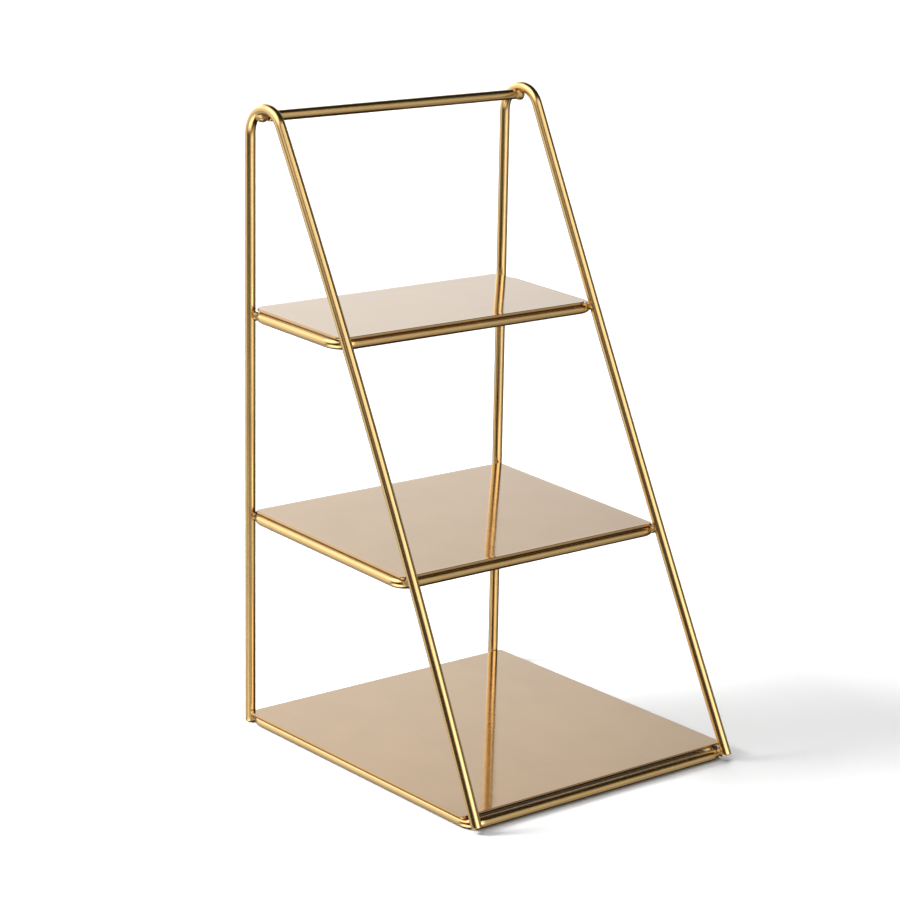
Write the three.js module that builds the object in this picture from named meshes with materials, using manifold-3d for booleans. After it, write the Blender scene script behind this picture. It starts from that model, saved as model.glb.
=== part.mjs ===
// Three-tier cake stand welded from round wire, with a sheet-metal plate on each tier.
// Millimetres, +Z up, X across the stand, -Y to the front, table at z = 0.
import * as THREE from 'three';
import { mergeVertices } from 'three/addons/utils/BufferGeometryUtils.js';
import Module from 'manifold-3d';

const wasm = await Module();
wasm.setup();

// Stock and clearances
const wireDiameter = 6;
const wireRadius = wireDiameter / 2;
const plateThickness = 1.6;
const weldGap = 0.3;

// Side frames
const frameSpacing = 185.6;
const footSpacing = 209.4;
const frameHeight = 365;
const bendRadius = 15.5;
const frameLean = THREE.MathUtils.degToRad(0.61);
const frameLift = 1.75;
const sides = [
  { name: 'left', direction: -1, bowForward: 3.9, bowInward: 0.8, handleBeadBack: 6 },
  { name: 'right', direction: 1, bowForward: -0.8, bowInward: 0.4, handleBeadBack: 2.5 },
];

// Handle bar: it lies behind and above the centre of the bends.
const handleBack = 3;
const handleRise = 11;
const handleBeadInset = 1.3;
const handleBeadRise = 10.8;
const handleBeadHalfSizes = new THREE.Vector3(4, 5.2, 3.6);

// Shelves: the height is the plate's top face above the table at y = 0.
const cornerBead = { radius: 3.1, bite: 1.6 };
const shelves = [
  {
    name: 'top', height: 246.15, pitch: 1.65,
    plate: { left: -93.2, right: 86.9, front: 21.2, rear: 104, cornerRadius: 6 },
    loop: { front: 24.1, rear: 103, cornerRadius: 10 },
  },
  {
    name: 'middle', height: 127.15, pitch: 1.9,
    plate: { left: -93.4, right: 90.7, front: -37.7, rear: 101, cornerRadius: 3 },
    loop: { front: -36, rear: 101.6, cornerRadius: 8 },
  },
  {
    name: 'bottom', height: wireDiameter + weldGap + plateThickness, pitch: 0,
    plate: { left: -96.4, right: 96.4, front: -96.8, rear: 101.4, cornerRadius: 2.5 },
    loop: { front: -99.8, rear: 100.4, cornerRadius: 8 },
  },
];

// Facets
const wireSides = 12;
const bendSteps = 12;
const legSteps = 8;
const cornerSteps = 5;
const beadSides = 12;
const beadRings = 8;
const beadSearchSamples = { frame: 1400, loop: 300 };
const backLegSteps = 2;
const halfOverlap = 0.5;
const mergeDistance = 1e-4;

const wireFinish = { color: 0xc79a4b, roughness: 0.28, metalness: 1 };
const plateFinish = { color: 0xdcc3a2, roughness: 0.12, metalness: 1 };
const beadFinish = { color: 0xa87f3c, roughness: 0.4, metalness: 1 };

const up = new THREE.Vector3(0, 0, 1);

/** A route of straight and curved pieces, each with its own number of steps. */
class WireRoute extends THREE.CurvePath {
  constructor(pieces) {
    super();
    this.pieces = pieces;
    this.steps = pieces.reduce((sum, piece) => sum + piece.steps, 0);
  }

  getPoint(t, target = new THREE.Vector3()) {
    let at = THREE.MathUtils.clamp(t, 0, 1) * this.steps;
    for (const { curve, steps } of this.pieces.slice(0, -1)) {
      if (at < steps) return curve.getPoint(at / steps, target);
      at -= steps;
    }
    const { curve, steps } = this.pieces.at(-1);
    return curve.getPoint(Math.min(at / steps, 1), target);
  }

  getUtoTmapping(u) {
    return u;
  }
}

/** A circular arc about a centre, from one angle to another, in the plane of two axes. */
class PlanarArc extends THREE.Curve {
  constructor(centre, axisU, axisV, radius, start, end) {
    super();
    Object.assign(this, { centre, axisU, axisV, radius, start, end });
  }

  getPoint(t, target = new THREE.Vector3()) {
    const angle = THREE.MathUtils.lerp(this.start, this.end, t);
    return target.copy(this.centre)
      .addScaledVector(this.axisU, this.radius * Math.cos(angle))
      .addScaledVector(this.axisV, this.radius * Math.sin(angle));
  }
}

function roundSection(radius) {
  const points = [];
  for (let i = 0; i < wireSides; i += 1) {
    const angle = (2 * Math.PI * i) / wireSides;
    points.push(new THREE.Vector2(radius * Math.cos(angle), radius * Math.sin(angle)));
  }
  return new THREE.Shape(points);
}

function tube(route, radius = wireRadius) {
  return new THREE.ExtrudeGeometry(roundSection(radius), {
    steps: route.steps,
    bevelEnabled: false,
    extrudePath: route,
  });
}

/** A three.js geometry as a manifold solid, placed by a matrix. */
function solidOf(geometry, matrix = new THREE.Matrix4()) {
  const plain = geometry.clone().applyMatrix4(matrix);
  plain.deleteAttribute('normal');
  plain.deleteAttribute('uv');
  const merged = mergeVertices(plain, mergeDistance);
  return new wasm.Manifold(new wasm.Mesh({
    numProp: 3,
    vertProperties: new Float32Array(merged.attributes.position.array),
    triVerts: new Uint32Array(merged.index.array),
  }));
}

function geometryOf(solid) {
  const mesh = solid.getMesh();
  const geometry = new THREE.BufferGeometry();
  geometry.setAttribute('position', new THREE.BufferAttribute(mesh.vertProperties, 3));
  geometry.setIndex(new THREE.BufferAttribute(mesh.triVerts, 1));
  geometry.computeVertexNormals();
  return geometry;
}

function named(name, geometry, finish) {
  const mesh = new THREE.Mesh(geometry, new THREE.MeshStandardMaterial(finish));
  mesh.name = name;
  return mesh;
}

// Side frame: back leg, top bend and slanted leg in one wire.
const bendCentre = new THREE.Vector3(
  0,
  footSpacing / 2 - bendRadius,
  frameHeight - wireRadius - bendRadius,
);

function frameRoute({ direction, bowForward, bowInward }) {
  const planeX = (direction * frameSpacing) / 2;
  const backFoot = new THREE.Vector3(planeX, footSpacing / 2, 0);
  const backTop = new THREE.Vector3(planeX, footSpacing / 2, bendCentre.z);
  const frontFoot = new THREE.Vector3(planeX, -footSpacing / 2, 0);
  const centre = bendCentre.clone().setX(planeX);
  const reach = centre.distanceTo(frontFoot);
  const slope = Math.atan2(centre.z, centre.y - frontFoot.y) + Math.asin(bendRadius / reach);
  const rearward = new THREE.Vector3(0, 1, 0);
  const bend = new PlanarArc(centre, rearward, up, bendRadius, 0, slope + Math.PI / 2);
  const bendEnd = bend.getPoint(1);
  const forward = new THREE.Vector3(0, -Math.sin(slope), Math.cos(slope));
  // A quadratic curve reaches half as far as its control point, so the bows are doubled.
  const control = bendEnd.clone().lerp(frontFoot, 0.5)
    .addScaledVector(forward, 2 * bowForward)
    .add(new THREE.Vector3(-direction * 2 * bowInward, 0, 0));
  return new WireRoute([
    { curve: new THREE.LineCurve3(backFoot, backTop), steps: backLegSteps },
    { curve: bend, steps: bendSteps },
    { curve: new THREE.QuadraticBezierCurve3(bendEnd, control, frontFoot), steps: legSteps },
  ]);
}

// Shelf loop: a wire rectangle with round corners, made of two U-shaped halves.
function loopHalf({ front, rear, cornerRadius: radius }, direction) {
  const outward = new THREE.Vector3(direction, 0, 0);
  const rearward = new THREE.Vector3(0, 1, 0);
  const sideX = (direction * frameSpacing) / 2;
  const cornerX = sideX - direction * radius;
  const middleX = -direction * halfOverlap;
  const rearCentre = new THREE.Vector3(cornerX, rear - radius, 0);
  const frontCentre = new THREE.Vector3(cornerX, front + radius, 0);
  const sideRear = rearCentre.clone().setX(sideX);
  const sideFront = frontCentre.clone().setX(sideX);
  const point = (x, y) => new THREE.Vector3(x, y, 0);
  const quarter = Math.PI / 2;
  return new WireRoute([
    { curve: new THREE.LineCurve3(point(middleX, rear), point(cornerX, rear)), steps: 1 },
    { curve: new PlanarArc(rearCentre, outward, rearward, radius, quarter, 0), steps: cornerSteps },
    { curve: new THREE.LineCurve3(sideRear, sideFront), steps: 1 },
    { curve: new PlanarArc(frontCentre, outward, rearward, radius, 0, -quarter), steps: cornerSteps },
    { curve: new THREE.LineCurve3(point(cornerX, front), point(middleX, front)), steps: 1 },
  ]);
}

function plateGeometry({ left, right, front, rear, cornerRadius: radius }) {
  const outline = new THREE.Shape();
  outline.moveTo(left + radius, front);
  outline.lineTo(right - radius, front);
  outline.absarc(right - radius, front + radius, radius, -Math.PI / 2, 0);
  outline.lineTo(right, rear - radius);
  outline.absarc(right - radius, rear - radius, radius, 0, Math.PI / 2);
  outline.lineTo(left + radius, rear);
  outline.absarc(left + radius, rear - radius, radius, Math.PI / 2, Math.PI);
  outline.lineTo(left, front + radius);
  outline.absarc(left + radius, front + radius, radius, Math.PI, 1.5 * Math.PI);
  const sheet = new THREE.ExtrudeGeometry(outline, {
    depth: plateThickness,
    bevelEnabled: false,
    curveSegments: cornerSteps,
  });
  return sheet.translate(0, 0, -plateThickness);
}

const stand = new THREE.Group();
stand.name = 'tiered_cake_stand';

// The side frames and the handle bar lean back together.
const upright = new THREE.Group();
upright.rotation.x = -frameLean;
upright.position.z = frameLift;
upright.updateMatrix();
stand.add(upright);

const frames = sides.map((side) => {
  const route = frameRoute(side);
  const mesh = named(`${side.name}_side_frame`, tube(route), wireFinish);
  upright.add(mesh);
  return { side, route, grown: solidOf(tube(route, wireRadius + weldGap), upright.matrix) };
});

const handleY = bendCentre.y + handleBack;
const handleZ = bendCentre.z + handleRise;
const handleLength = frameSpacing - wireDiameter - 2 * weldGap;
const handleEnd = new THREE.Vector3(handleLength / 2, handleY, handleZ);
const handleRoute = new WireRoute([
  { curve: new THREE.LineCurve3(handleEnd.clone().setX(-handleEnd.x), handleEnd), steps: 1 },
]);
upright.add(named('handle_bar', tube(handleRoute), wireFinish));
const grownHandle = solidOf(tube(handleRoute, wireRadius + weldGap), upright.matrix);

/** A bead of weld metal: an egg shape trimmed clear of the pieces that it joins. */
function weldBead(name, placement, neighbours) {
  const bead = solidOf(new THREE.SphereGeometry(1, beadSides, beadRings), placement);
  const trimmed = neighbours.reduce((solid, neighbour) => solid.subtract(neighbour), bead);
  const largest = trimmed.decompose().sort((one, other) => other.volume() - one.volume())[0];
  stand.add(named(name, geometryOf(largest), beadFinish));
}

/** The nearest points of two rows of points. */
function nearestPoints(pointsA, pointsB) {
  let nearest = { distance: Infinity };
  for (const a of pointsA) {
    for (const b of pointsB) {
      const distance = a.distanceTo(b);
      if (distance < nearest.distance) nearest = { distance, a, b };
    }
  }
  return nearest;
}

function placedPoints(route, samples, matrix) {
  return route.getSpacedPoints(samples).map((point) => point.applyMatrix4(matrix));
}

for (const { side } of frames) {
  const centre = new THREE.Vector3(
    side.direction * (frameSpacing / 2 - handleBeadInset),
    bendCentre.y + side.handleBeadBack,
    bendCentre.z + handleBeadRise,
  );
  const placement = upright.matrix.clone()
    .multiply(new THREE.Matrix4().makeTranslation(centre))
    .scale(handleBeadHalfSizes);
  const grownFrames = frames.map((frame) => frame.grown);
  weldBead(`${side.name}_handle_weld`, placement, [...grownFrames, grownHandle]);
}

for (const shelf of shelves) {
  const level = new THREE.Group();
  level.rotation.x = THREE.MathUtils.degToRad(shelf.pitch);
  level.position.z = shelf.height;
  level.updateMatrix();
  stand.add(level);

  const plate = plateGeometry(shelf.plate);
  level.add(named(`${shelf.name}_shelf_plate`, plate, plateFinish));

  // The loop lies under the plate, and is cut back where it meets the legs.
  const loopDrop = plateThickness + weldGap + wireRadius;
  const loopMatrix = new THREE.Matrix4().makeTranslation(0, 0, -loopDrop);
  const halfRoutes = sides.map(({ direction }) => loopHalf(shelf.loop, direction));
  const loop = (radius) => halfRoutes
    .map((route) => solidOf(tube(route, radius), loopMatrix))
    .reduce((joined, half) => joined.add(half));
  const uprightInLevel = level.matrix.clone().invert().multiply(upright.matrix);
  const legs = frames.map(({ route }) => solidOf(tube(route, wireRadius + weldGap), uprightInLevel));
  const loopSolid = legs.reduce((solid, leg) => solid.subtract(leg), loop(wireRadius));
  level.add(named(`${shelf.name}_shelf_loop`, geometryOf(loopSolid), wireFinish));

  const placeLoop = level.matrix.clone().multiply(loopMatrix);
  const grownLoop = halfRoutes
    .map((route) => solidOf(tube(route, wireRadius + weldGap), placeLoop))
    .reduce((joined, half) => joined.add(half));
  const grownPlate = solidOf(plate, level.matrix.clone());
  frames.forEach(({ side, route, grown }, i) => {
    const framePoints = placedPoints(route, beadSearchSamples.frame, upright.matrix);
    const loopPoints = placedPoints(halfRoutes[i], beadSearchSamples.loop, placeLoop);
    const middleY = (shelf.loop.front + shelf.loop.rear) / 2;
    const corners = [['rear', (y) => y > middleY], ['front', (y) => y < middleY]];
    for (const [corner, isHere] of corners) {
      const { a, b, distance } = nearestPoints(
        framePoints.filter((point) => isHere(point.y)),
        loopPoints.filter((point) => isHere(point.y)),
      );
      const turn = new THREE.Quaternion().setFromUnitVectors(up, b.clone().sub(a).normalize());
      const reach = Math.max(distance / 2 - wireRadius, 0) + cornerBead.bite;
      const placement = new THREE.Matrix4().compose(
        a.clone().lerp(b, 0.5), turn, new THREE.Vector3(cornerBead.radius, cornerBead.radius, reach),
      );
      const name = `${shelf.name}_${corner}_${side.name}_weld`;
      weldBead(name, placement, [grown, grownLoop, grownPlate]);
    }
  });
}

// The origin is the centre of the stand's outer box, on the table.
const outerBox = new THREE.Box3().setFromObject(stand, true);
const outerCentre = outerBox.getCenter(new THREE.Vector3());
stand.position.set(-outerCentre.x, -outerCentre.y, -outerBox.min.z);

export default stand;
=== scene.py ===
"""Tiered cake stand: smooth wires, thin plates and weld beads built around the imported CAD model.

Sizes are in millimetres and match the CAD model, up to the stage, where they are in metres.
"""
import math

import bmesh
import bpy
from mathutils import Matrix, Vector, noise


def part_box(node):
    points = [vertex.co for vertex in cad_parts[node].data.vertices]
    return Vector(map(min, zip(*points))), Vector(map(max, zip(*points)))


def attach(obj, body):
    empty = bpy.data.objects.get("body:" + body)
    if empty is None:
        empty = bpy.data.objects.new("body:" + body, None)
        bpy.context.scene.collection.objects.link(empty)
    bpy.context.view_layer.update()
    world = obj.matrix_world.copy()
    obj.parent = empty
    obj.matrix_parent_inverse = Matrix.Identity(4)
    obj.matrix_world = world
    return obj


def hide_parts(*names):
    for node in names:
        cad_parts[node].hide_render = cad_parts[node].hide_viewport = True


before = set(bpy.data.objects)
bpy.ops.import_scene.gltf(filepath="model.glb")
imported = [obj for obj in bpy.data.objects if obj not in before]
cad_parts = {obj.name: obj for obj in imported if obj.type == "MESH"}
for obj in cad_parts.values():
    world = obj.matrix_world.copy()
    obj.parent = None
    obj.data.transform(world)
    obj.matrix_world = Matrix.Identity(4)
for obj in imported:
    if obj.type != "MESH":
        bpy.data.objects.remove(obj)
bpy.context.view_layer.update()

MM = 0.001

# The stand, with the same names and values as the CAD model
WIRE_RADIUS = 3.0
PLATE_THICKNESS = 1.6
WELD_GAP = 0.3
FRAME_SPACING = 185.6
FOOT_SPACING = 209.4
FRAME_HEIGHT = 365.0
BEND_RADIUS = 15.5
FRAME_LEAN = math.radians(0.61)
FRAME_LIFT = 1.75
HANDLE_BACK = 3.0
HANDLE_RISE = 11.0
CENTRING = -1.989

# Small irregularities of the real metal
WIRE_WANDER = 0.02
WANDER_LENGTH = 8.0
CUT_ROUND = 0.6
CUT_FLAT_INSET = 1.4 * CUT_ROUND
EDGE_ROUND = 0.35
EDGE_BAND = 0.4
SHEET_UNEVEN = 0.02
SHEET_WAVE = 45.0
WELD_REACH = 0.9
WELD_SWELL = 0.16
WELD_RIPPLE = 0.06
SWELLS_PER_RADIUS = 1.4
RIPPLES_PER_RADIUS = 4.2

# Every piece starts in a stretch of the noise of its own
FRAME_SEED_STEP = 10.0
HANDLE_SEED = 31.0
PLATE_SEED_STEP = 5.0
FIRST_LOOP_SEED = 50.0
LOOP_SEED_STEP = 10.0
WELD_SEED_STEP = 3.7

# How finely the meshes are drawn
LEG_STEP = 3.0
BEND_STEP = 0.8
WIRE_SIDES = 40
RIM_STEPS = 5
EDGE_STEPS = 4
CORNER_POINTS = 10
PLATE_GRID = 4.0
CUT_TOLERANCE = 1e-4
WELD_SUBDIVISIONS = 4

# Length of wire that one unit of its texture coordinates covers
UV_LENGTH = 100.0

X_AXIS = Vector((1, 0, 0))
Y_AXIS = Vector((0, 1, 0))
Z_AXIS = Vector((0, 0, 1))

# Each side frame's slanted leg is bowed by this much at its middle
SIDES = {
    "left": {"direction": -1, "bow_forward": 3.9, "bow_inward": 0.8},
    "right": {"direction": 1, "bow_forward": -0.8, "bow_inward": 0.4},
}

# The height is that of the plate's top face; the pitch tips it forward, in degrees
SHELVES = {
    "top": {
        "height": 246.15,
        "pitch": 1.65,
        "plate": {"left": -93.2, "right": 86.9, "front": 21.2, "rear": 104.0, "corner": 6.0},
        "loop": {"front": 24.1, "rear": 103.0, "corner": 10.0},
    },
    "middle": {
        "height": 127.15,
        "pitch": 1.9,
        "plate": {"left": -93.4, "right": 90.7, "front": -37.7, "rear": 101.0, "corner": 3.0},
        "loop": {"front": -36.0, "rear": 101.6, "corner": 8.0},
    },
    "bottom": {
        "height": 2 * WIRE_RADIUS + WELD_GAP + PLATE_THICKNESS,
        "pitch": 0.0,
        "plate": {"left": -96.4, "right": 96.4, "front": -96.8, "rear": 101.4, "corner": 2.5},
        "loop": {"front": -99.8, "rear": 100.4, "corner": 8.0},
    },
}

BEND_CENTRE = Vector((0, FOOT_SPACING / 2 - BEND_RADIUS, FRAME_HEIGHT - WIRE_RADIUS - BEND_RADIUS))
centring = Matrix.Translation((0, CENTRING, 0))
upright = centring @ Matrix.Translation((0, 0, FRAME_LIFT)) @ Matrix.Rotation(-FRAME_LEAN, 4, "X")


def level(shelf):
    """Where a shelf's own level coordinates lie: its plate's top face is at z = 0."""
    return (
        centring
        @ Matrix.Translation((0, 0, shelf["height"]))
        @ Matrix.Rotation(math.radians(shelf["pitch"]), 4, "X")
    )


# ---------------------------------------------------------------- routes


def straight(start, end, step):
    """Evenly spaced points from start up to, but without, the end."""
    count = max(1, round((end - start).length / step))
    return [start.lerp(end, i / count) for i in range(count)]


def arc(centre, axis_u, axis_v, radius, start, end, step):
    """Points round part of a circle, without the last; angles run from axis_u towards axis_v."""
    count = max(1, round(abs(end - start) * radius / step))
    points = []
    for i in range(count):
        angle = start + (end - start) * i / count
        points.append(centre + radius * (math.cos(angle) * axis_u + math.sin(angle) * axis_v))
    return points


def bowed(start, control, end, step):
    """A gently bowed stretch: a quadratic curve from start to end, with both of them."""
    count = max(1, round((end - start).length / step))
    points = []
    for i in range(count + 1):
        t = i / count
        points.append((1 - t) ** 2 * start + 2 * t * (1 - t) * control + t**2 * end)
    return points


def frame_route(side):
    """Back foot, up the back leg, round the bend and down the slanted leg to the front foot."""
    plane_x = side["direction"] * FRAME_SPACING / 2
    back_foot = Vector((plane_x, FOOT_SPACING / 2, 0))
    back_top = Vector((plane_x, FOOT_SPACING / 2, BEND_CENTRE.z))
    front_foot = Vector((plane_x, -FOOT_SPACING / 2, 0))
    centre = Vector((plane_x, BEND_CENTRE.y, BEND_CENTRE.z))
    reach = (centre - front_foot).length
    slope = math.atan2(centre.z, centre.y - front_foot.y) + math.asin(BEND_RADIUS / reach)
    forward = Vector((0, -math.sin(slope), math.cos(slope)))
    bend_end = centre + BEND_RADIUS * forward
    control = (bend_end + front_foot) / 2 + 2 * side["bow_forward"] * forward
    control.x -= side["direction"] * 2 * side["bow_inward"]
    return (
        straight(back_foot, back_top, LEG_STEP)
        + arc(centre, Y_AXIS, Z_AXIS, BEND_RADIUS, 0, slope + math.pi / 2, BEND_STEP)
        + bowed(bend_end, control, front_foot, LEG_STEP)
    )


def loop_route(loop):
    """The closed rectangle of a shelf loop, with round corners, level at z = 0."""
    half = FRAME_SPACING / 2
    radius = loop["corner"]
    corners = [
        (half - radius, loop["rear"] - radius, 0),
        (-half + radius, loop["rear"] - radius, 1),
        (-half + radius, loop["front"] + radius, 2),
        (half - radius, loop["front"] + radius, 3),
    ]
    points = []
    for i, (x, y, quarter) in enumerate(corners):
        start = quarter * math.pi / 2
        turn = start + math.pi / 2
        centre = Vector((x, y, 0))
        points += arc(centre, X_AXIS, Y_AXIS, radius, start, turn, BEND_STEP)
        next_x, next_y, _ = corners[(i + 1) % len(corners)]
        outward = radius * Vector((math.cos(turn), math.sin(turn), 0))
        points += straight(centre + outward, Vector((next_x, next_y, 0)) + outward, LEG_STEP)
    return points


# ---------------------------------------------------------------- meshes


def new_piece(name, bm, transform, material, *stands_for):
    """Turns a mesh in millimetres into a smooth-shaded piece that stands for its CAD node."""
    bm.transform(Matrix.Scale(MM, 4) @ transform)
    bmesh.ops.recalc_face_normals(bm, faces=bm.faces)
    mesh = bpy.data.meshes.new(name)
    bm.to_mesh(mesh)
    bm.free()
    mesh.shade_smooth()
    mesh.materials.append(material)
    piece = bpy.data.objects.new(name, mesh)
    bpy.context.scene.collection.objects.link(piece)
    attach(piece, "root")
    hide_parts(*stands_for)


def cross_axes(points, closed):
    """At each point: the direction along the route and two across it, carried without twisting."""
    count = len(points)
    rows = []
    across = None
    for i in range(count):
        before = points[i - 1] if closed or i > 0 else points[0]
        after = points[(i + 1) % count] if closed or i < count - 1 else points[-1]
        along = (after - before).normalized()
        if across is None:
            across = along.orthogonal()
        across = (across - across.dot(along) * along).normalized()
        rows.append((along, across, along.cross(across)))
    return rows


def wire_stations(points, closed):
    """The rings of a wire: centre, direction along, two across, radius and distance travelled."""
    stations = []
    travelled = 0.0
    for i, (along, u, v) in enumerate(cross_axes(points, closed)):
        travelled += (points[i] - points[i - 1]).length if i else 0.0
        stations.append((points[i], along, u, v, WIRE_RADIUS - WIRE_WANDER, travelled))
    if closed:
        return stations
    return (
        end_stations(stations[0], 1)
        + stations[1:-1]
        + list(reversed(end_stations(stations[-1], -1)))
    )


def end_stations(station, inward):
    """The rounded rim that a cut wire end has, from the flat of its face to its full radius."""
    point, along, u, v, radius, travelled = station
    stations = [(point, along, u, v, radius - CUT_FLAT_INSET, travelled)]
    for i in range(RIM_STEPS + 1):
        angle = math.pi / 2 * i / RIM_STEPS
        moved = inward * CUT_ROUND * (1 - math.cos(angle))
        ring_radius = radius - CUT_ROUND * (1 - math.sin(angle))
        stations.append((point + moved * along, along, u, v, ring_radius, travelled + moved))
    return stations


def swept_wire(points, closed, seed):
    """A round wire along a route. Its radius wanders by two hundredths, as drawn wire's does."""
    bm = bmesh.new()
    uv_layer = bm.loops.layers.uv.new("along_wire")
    rings = []
    for point, _, u, v, radius, travelled in wire_stations(points, closed):
        ring = []
        for k in range(WIRE_SIDES):
            angle = 2 * math.pi * k / WIRE_SIDES
            sample = Vector((math.cos(angle), math.sin(angle), travelled / WANDER_LENGTH + seed))
            reach = radius + WIRE_WANDER * noise.noise(sample)
            ring.append(bm.verts.new(point + reach * (math.cos(angle) * u + math.sin(angle) * v)))
        rings.append((ring, travelled))
    pairs = list(zip(rings, rings[1:]))
    if closed:
        last_stretch = (points[0] - points[-1]).length
        pairs.append((rings[-1], (rings[0][0], rings[-1][1] + last_stretch)))
    for (ring_a, along_a), (ring_b, along_b) in pairs:
        for k in range(WIRE_SIDES):
            m = (k + 1) % WIRE_SIDES
            face = bm.faces.new((ring_a[k], ring_a[m], ring_b[m], ring_b[k]))
            spots = ((k, along_a), (k + 1, along_a), (k + 1, along_b), (k, along_b))
            for corner, (turn, along) in zip(face.loops, spots):
                corner[uv_layer].uv = (turn / WIRE_SIDES, along / UV_LENGTH)
    if not closed:
        bm.faces.new(rings[0][0])
        bm.faces.new(rings[-1][0])
    return bm


def plate_outline(plate, inset):
    """The round-cornered outline of a plate, moved inwards by an inset."""
    corner = plate["corner"]
    reach = corner - inset
    left, right = plate["left"] + corner, plate["right"] - corner
    front, rear = plate["front"] + corner, plate["rear"] - corner
    points = []
    for x, y, quarter in ((right, rear, 0), (left, rear, 1), (left, front, 2), (right, front, 3)):
        for i in range(CORNER_POINTS + 1):
            angle = (quarter + i / CORNER_POINTS) * math.pi / 2
            points.append(Vector((x + reach * math.cos(angle), y + reach * math.sin(angle), 0)))
    return points


def edge_rings():
    """Inset and height of each outline round a plate's edge, from its top face to its bottom."""
    rings = []
    for i in range(EDGE_STEPS + 1):
        angle = math.pi / 2 * i / EDGE_STEPS
        inset = EDGE_ROUND * (1 - math.sin(angle))
        depth = EDGE_ROUND * (1 - math.cos(angle))
        rings.append((inset, -depth))
    return rings + [(inset, -PLATE_THICKNESS - z) for inset, z in reversed(rings)]


def cut_into_grid(bm, plate):
    """Cuts a plate into squares, so that its faces can be uneven."""
    spans = ((X_AXIS, plate["left"], plate["right"]), (Y_AXIS, plate["front"], plate["rear"]))
    for axis, low, high in spans:
        cuts = round((high - low) / PLATE_GRID)
        for i in range(1, cuts):
            point = (low + (high - low) * i / cuts) * axis
            geometry = bm.verts[:] + bm.edges[:] + bm.faces[:]
            bmesh.ops.bisect_plane(
                bm, geom=geometry, plane_co=point, plane_no=axis, dist=CUT_TOLERANCE
            )


def plate_mesh(plate, seed):
    """A sheet with softly rounded edges, so slightly uneven that only reflections in it waver."""
    bm = bmesh.new()
    outlines = []
    for inset, z in edge_rings():
        outlines.append([bm.verts.new(p + z * Z_AXIS) for p in plate_outline(plate, inset)])
    for ring_a, ring_b in zip(outlines, outlines[1:]):
        for k in range(len(ring_a)):
            m = (k + 1) % len(ring_a)
            bm.faces.new((ring_a[k], ring_a[m], ring_b[m], ring_b[k]))
    top = bm.faces.new(outlines[0])
    bottom = bm.faces.new(outlines[-1])
    for face in (top, bottom):
        bmesh.ops.inset_region(bm, faces=[face], thickness=EDGE_BAND, use_even_offset=True)
    cut_into_grid(bm, plate)
    for vert in bm.verts:
        wave = noise.noise(Vector((vert.co.x, vert.co.y, seed)) / SHEET_WAVE)
        vert.co.z += SHEET_UNEVEN * (wave - 1)
    return bm


def weld_mesh(radii, seed):
    """A lump of weld metal: an egg with the swells and ripples of a puddle that froze."""
    bm = bmesh.new()
    bmesh.ops.create_icosphere(bm, subdivisions=WELD_SUBDIVISIONS, radius=1.0)
    for vert in bm.verts:
        outward = vert.co.normalized()
        swell = noise.noise(outward * SWELLS_PER_RADIUS + seed * X_AXIS)
        ripple = noise.noise(outward * RIPPLES_PER_RADIUS + seed * Y_AXIS)
        reach = WELD_REACH + WELD_SWELL * swell + WELD_RIPPLE * ripple
        vert.co = outward * radii * reach
    return bm


# ---------------------------------------------------------------- materials

# Noise sizes, in cycles per metre of the object
DRIFT_SCALE = 38.0
GRAIN_SCALE = 2200.0
WIRE_GRAIN_SCALE = 1800.0
FLAKE_SCALE = 2000.0
PEEL_SCALE = 430.0
RIPPLE_SCALE = 900.0
PIT_SCALE = 2400.0

# Drawing lines: fine round the wire and long along it
LINE_STRETCH = (30.0, 1.5, 1.0)
LINE_SCALE = 6.0

# Nearly all of a noise texture's values lie between these two
NOISE_LOW = 0.25
NOISE_HIGH = 0.75

# Where the drift of a colour starts and ends
DRIFT_START = 0.3
DRIFT_END = 0.7


class Nodes:
    """A small helper that adds nodes to a material or world and links them by socket name."""

    def __init__(self, tree):
        self.tree = tree
        tree.nodes.clear()

    def add(self, kind, inputs=None, **settings):
        node = self.tree.nodes.new(kind)
        for name, value in settings.items():
            setattr(node, name, value)
        for name, value in (inputs or {}).items():
            if isinstance(value, bpy.types.NodeSocket):
                self.tree.links.new(value, node.inputs[name])
            else:
                node.inputs[name].default_value = value
        return node

    def noise(self, vector, scale, detail=3.0):
        inputs = {"Vector": vector, "Scale": scale, "Detail": detail, "Roughness": 0.5}
        return self.add("ShaderNodeTexNoise", inputs).outputs["Fac"]

    def ramp(self, factor, stops):
        node = self.add("ShaderNodeValToRGB", {"Fac": factor})
        elements = node.color_ramp.elements
        for element, (place, colour) in zip(elements, stops):
            element.position = place
            element.color = (*colour, 1.0)
        return node.outputs["Color"]

    def remap(self, value, low, high):
        inputs = {
            "Value": value,
            "From Min": NOISE_LOW,
            "From Max": NOISE_HIGH,
            "To Min": low,
            "To Max": high,
        }
        return self.add("ShaderNodeMapRange", inputs).outputs["Result"]

    def bump(self, height, strength, distance, normal=None):
        inputs = {"Height": height, "Strength": strength, "Distance": distance}
        if normal is not None:
            inputs["Normal"] = normal
        return self.add("ShaderNodeBump", inputs).outputs["Normal"]

    def stretched(self, vector, scale):
        return self.add("ShaderNodeMapping", {"Vector": vector, "Scale": scale}).outputs["Vector"]


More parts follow.
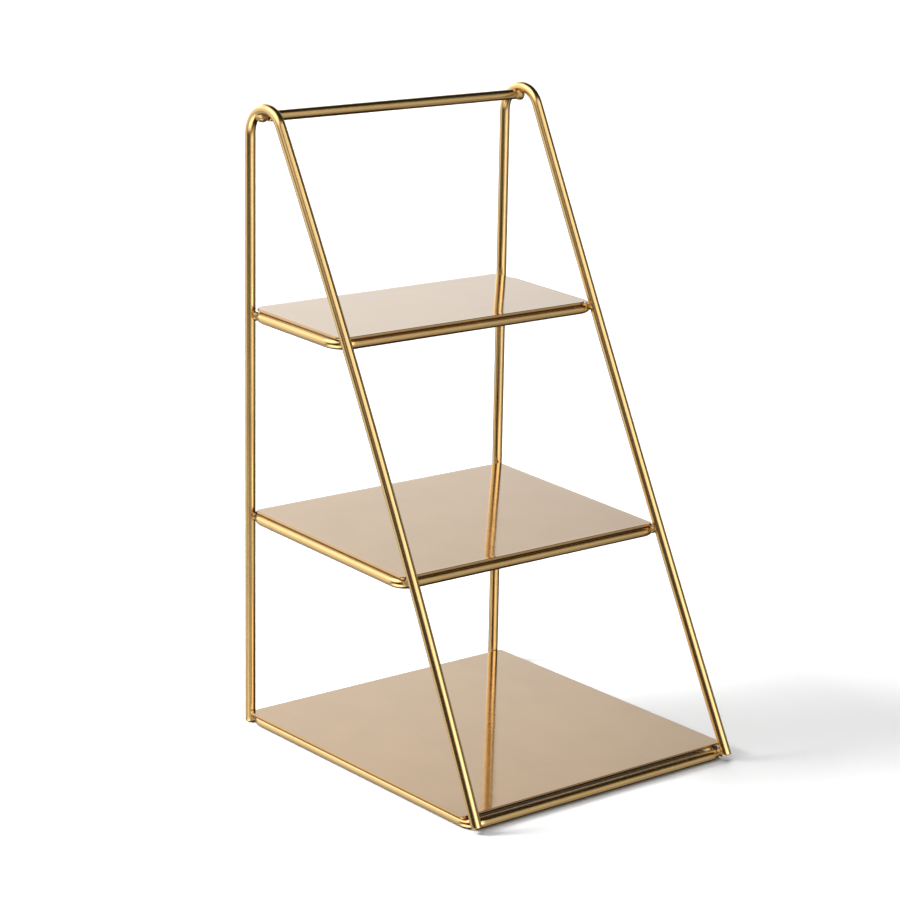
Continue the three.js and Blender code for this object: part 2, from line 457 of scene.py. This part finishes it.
def metal(name, colours, rough, build_surface, finish):
    """A metal of slowly drifting colour and grainy roughness, with its own relief and finish."""
    material = bpy.data.materials.new(name)
    material.use_nodes = True
    nodes = Nodes(material.node_tree)
    places = nodes.add("ShaderNodeTexCoord").outputs
    normals = build_surface(nodes, places)
    drift = nodes.noise(places["Object"], DRIFT_SCALE, detail=4.0)
    grain = nodes.noise(places["Object"], GRAIN_SCALE, detail=2.0)
    shader = nodes.add("ShaderNodeBsdfPrincipled", {
        "Base Color": nodes.ramp(drift, ((DRIFT_START, colours[0]), (DRIFT_END, colours[1]))),
        "Metallic": 1.0,
        "Roughness": nodes.remap(grain, *rough),
        **normals,
        **finish,
    })
    output = nodes.add("ShaderNodeOutputMaterial")
    nodes.tree.links.new(shader.outputs["BSDF"], output.inputs["Surface"])
    return material


def wire_surface(nodes, places):
    """Faint drawing lines along the wire under a fine plated grain."""
    lines = nodes.noise(nodes.stretched(places["UV"], LINE_STRETCH), LINE_SCALE)
    grain = nodes.noise(places["Object"], WIRE_GRAIN_SCALE)
    drawn = nodes.bump(lines, strength=0.15, distance=0.00005)
    return {"Normal": nodes.bump(grain, strength=0.22, distance=0.00004, normal=drawn)}


def plate_surface(nodes, places):
    """Glittering flake in the paint, under a clear lacquer with an orange-peel skin."""
    flake = nodes.noise(places["Object"], FLAKE_SCALE)
    peel = nodes.noise(places["Object"], PEEL_SCALE)
    skin = nodes.bump(peel, strength=0.10, distance=0.00012)
    glitter = nodes.bump(flake, strength=0.12, distance=0.00004, normal=skin)
    return {"Normal": glitter, "Coat Normal": skin}


def weld_surface(nodes, places):
    """Pits and ripples of weld metal under the plating."""
    ripples = nodes.noise(places["Object"], RIPPLE_SCALE, detail=4.0)
    pits = nodes.noise(places["Object"], PIT_SCALE)
    frozen = nodes.bump(ripples, strength=0.5, distance=0.00025)
    return {"Normal": nodes.bump(pits, strength=0.25, distance=0.00006, normal=frozen)}


# Clear coats: a thin one over the plated wire and a glossy one over the painted sheet
PLATING = {"Coat Weight": 0.5, "Coat Roughness": 0.12, "Coat IOR": 1.5}
LACQUER = {"Coat Weight": 1.0, "Coat Roughness": 0.035, "Coat IOR": 1.5}

brushed_brass = metal(
    "brushed_brass",
    colours=((0.53, 0.345, 0.13), (0.59, 0.385, 0.15)),
    rough=(0.17, 0.25),
    build_surface=wire_surface,
    finish=PLATING,
)
champagne_sheet = metal(
    "champagne_sheet",
    colours=((0.41, 0.245, 0.082), (0.45, 0.268, 0.095)),
    rough=(0.07, 0.12),
    build_surface=plate_surface,
    finish=LACQUER,
)
brass_weld = metal(
    "brass_weld",
    colours=((0.24, 0.15, 0.06), (0.50, 0.34, 0.15)),
    rough=(0.25, 0.45),
    build_surface=weld_surface,
    finish={},
)


# ---------------------------------------------------------------- the stand

for number, (side_name, side) in enumerate(SIDES.items()):
    wire = swept_wire(frame_route(side), False, FRAME_SEED_STEP * number)
    new_piece(f"{side_name}_frame_wire", wire, upright, brushed_brass, f"{side_name}_side_frame")

handle_middle = BEND_CENTRE + Vector((0, HANDLE_BACK, HANDLE_RISE))
handle_half = (FRAME_SPACING / 2 - WIRE_RADIUS - WELD_GAP) * X_AXIS
handle_points = straight(handle_middle - handle_half, handle_middle + handle_half, LEG_STEP)
handle_points.append(handle_middle + handle_half)
handle = swept_wire(handle_points, False, HANDLE_SEED)
new_piece("handle_wire", handle, upright, brushed_brass, "handle_bar")

for number, (shelf_name, shelf) in enumerate(SHELVES.items()):
    plate_place = level(shelf)
    plate = plate_mesh(shelf["plate"], PLATE_SEED_STEP * number)
    plate_node = f"{shelf_name}_shelf_plate"
    new_piece(f"{shelf_name}_plate_sheet", plate, plate_place, champagne_sheet, plate_node)
    loop_place = plate_place @ Matrix.Translation((0, 0, -PLATE_THICKNESS - WELD_GAP - WIRE_RADIUS))
    loop = swept_wire(loop_route(shelf["loop"]), True, FIRST_LOOP_SEED + LOOP_SEED_STEP * number)
    loop_node = f"{shelf_name}_shelf_loop"
    new_piece(f"{shelf_name}_loop_wire", loop, loop_place, brushed_brass, loop_node)

weld_nodes = sorted(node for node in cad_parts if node.endswith("_weld"))
for number, node in enumerate(weld_nodes):
    low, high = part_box(node)
    bead = weld_mesh((high - low) / 2 / MM, WELD_SEED_STEP * number)
    bead_place = Matrix.Translation((low + high) / 2 / MM)
    new_piece(f"{node}_bead", bead, bead_place, brass_weld, node)


# ---------------------------------------------------------------- stage, light and camera

FLOOR_HALF = 12.0
FLOOR_GREY = 0.25
corner_signs = ((-1, -1), (1, -1), (1, 1), (-1, 1))
floor_corners = [(x * FLOOR_HALF, y * FLOOR_HALF, 0) for x, y in corner_signs]
floor_mesh = bpy.data.meshes.new("floor")
floor_mesh.from_pydata(floor_corners, [], [(0, 1, 2, 3)])
floor = bpy.data.objects.new("floor", floor_mesh)
bpy.context.scene.collection.objects.link(floor)
floor_material = bpy.data.materials.new("floor_white")
floor_material.use_nodes = True
floor_shader = floor_material.node_tree.nodes["Principled BSDF"]
floor_shader.inputs["Base Color"].default_value = (FLOOR_GREY, FLOOR_GREY, FLOOR_GREY, 1.0)
floor_shader.inputs["Roughness"].default_value = 0.9
floor_shader.inputs["Specular IOR Level"].default_value = 0.1
floor_mesh.materials.append(floor_material)

# The metal mirrors only the soft sources below, not the floor or the lamps
floor.visible_glossy = False


def direction(azimuth, elevation):
    """A unit vector: azimuth 0 is towards the front (-Y) and grows to the right; in degrees."""
    a, e = math.radians(azimuth), math.radians(elevation)
    return Vector((math.sin(a) * math.cos(e), -math.cos(a) * math.cos(e), math.sin(e)))


def soft_source(sky, azimuth, elevation, spread, strength):
    """The glow of one soft light: full in its own direction, gone past its spread; in degrees."""
    gaze = sky.add("ShaderNodeTexCoord").outputs["Generated"]
    vectors = {0: gaze, 1: direction(azimuth, elevation)}
    nearness = sky.add("ShaderNodeVectorMath", vectors, operation="DOT_PRODUCT").outputs["Value"]
    inputs = {
        "Value": nearness,
        "From Min": math.cos(math.radians(spread)),
        "From Max": 1.0,
        "To Min": 0.0,
        "To Max": strength,
    }
    return sky.add("ShaderNodeMapRange", inputs, interpolation_type="SMOOTHSTEP").outputs["Result"]


# Azimuth, elevation, spread and strength of each soft source that the metal mirrors
SOFT_SOURCES = [
    (0, 8, 26, 4.2),
    (20, 34, 24, 2.2),
    (-20, 34, 24, 1.9),
    (-30, 6, 24, 0.9),
    (32, 2, 30, 0.8),
    (8, -14, 30, 0.9),
    (-104, 48, 42, 3.4),
    (-155, 34, 34, 1.8),
    (180, 12, 28, 1.8),
    (-138, 0, 32, 1.5),
    (-90, -45, 38, 3.0),
    (-45, -38, 30, 1.5),
    (-160, -38, 34, 0.7),
    (45, -38, 30, 0.5),
    (92, 0, 34, 0.4),
    (156, 14, 35, 1.15),
]
AMBIENT = 0.03

world = bpy.data.worlds.new("studio")
bpy.context.scene.world = world
world.use_nodes = True
sky = Nodes(world.node_tree)
glow = AMBIENT
for azimuth, elevation, spread, strength in SOFT_SOURCES:
    source = soft_source(sky, azimuth, elevation, spread, strength)
    glow = sky.add("ShaderNodeMath", {0: glow, 1: source}, operation="ADD").outputs["Value"]
background = sky.add("ShaderNodeBackground", {"Color": (1.0, 1.0, 1.0, 1.0), "Strength": glow})
sky_output = sky.add("ShaderNodeOutputWorld")
sky.tree.links.new(background.outputs["Background"], sky_output.inputs["Surface"])


def area_light(name, place, aim, size, power):
    """A square lamp that lights the floor and casts the shadow, but is not mirrored."""
    light = bpy.data.lights.new(name, "AREA")
    light.size = size
    light.energy = power
    lamp = bpy.data.objects.new(name, light)
    lamp.location = place
    lamp.rotation_euler = (Vector(aim) - Vector(place)).to_track_quat("-Z", "Y").to_euler()
    lamp.visible_glossy = False
    bpy.context.scene.collection.objects.link(lamp)


# Place and aim in metres, side in metres and power in watts
area_light("side_lamp", (-1.38, 1.0, 1.0), (0.0, 0.0, 0.0), 0.7, 215.0)
area_light("overhead_lamp", (0.3, 1.2, 3.0), (0.3, 1.2, 0.0), 4.0, 238.0)
area_light("back_lamp", (2.6, 3.0, 2.5), (2.6, 3.0, 0.0), 3.0, 330.0)

CAMERA_AZIMUTH = -39.36
CAMERA_ELEVATION = 15.08
CAMERA_ROLL = math.radians(1.43)
CAMERA_DISTANCE = 1.5813
CAMERA_TARGET = Vector((-0.03206, -0.00204, 0.17957))
CAMERA_LENS = 113.41
CAMERA_SENSOR = 36.0
CAMERA_FAR = 60.0

camera = bpy.data.objects.new("camera", bpy.data.cameras.new("camera"))
camera.data.lens = CAMERA_LENS
camera.data.sensor_width = CAMERA_SENSOR
camera.data.clip_end = CAMERA_FAR
outward = direction(CAMERA_AZIMUTH, CAMERA_ELEVATION)
camera_place = Matrix.Translation(CAMERA_TARGET + CAMERA_DISTANCE * outward)
camera_aim = (-outward).to_track_quat("-Z", "Y").to_matrix().to_4x4()
camera.matrix_world = camera_place @ camera_aim @ Matrix.Rotation(CAMERA_ROLL, 4, "Z")
bpy.context.scene.collection.objects.link(camera)
bpy.context.scene.camera = camera
bpy.context.scene.view_settings.view_transform = "Standard"
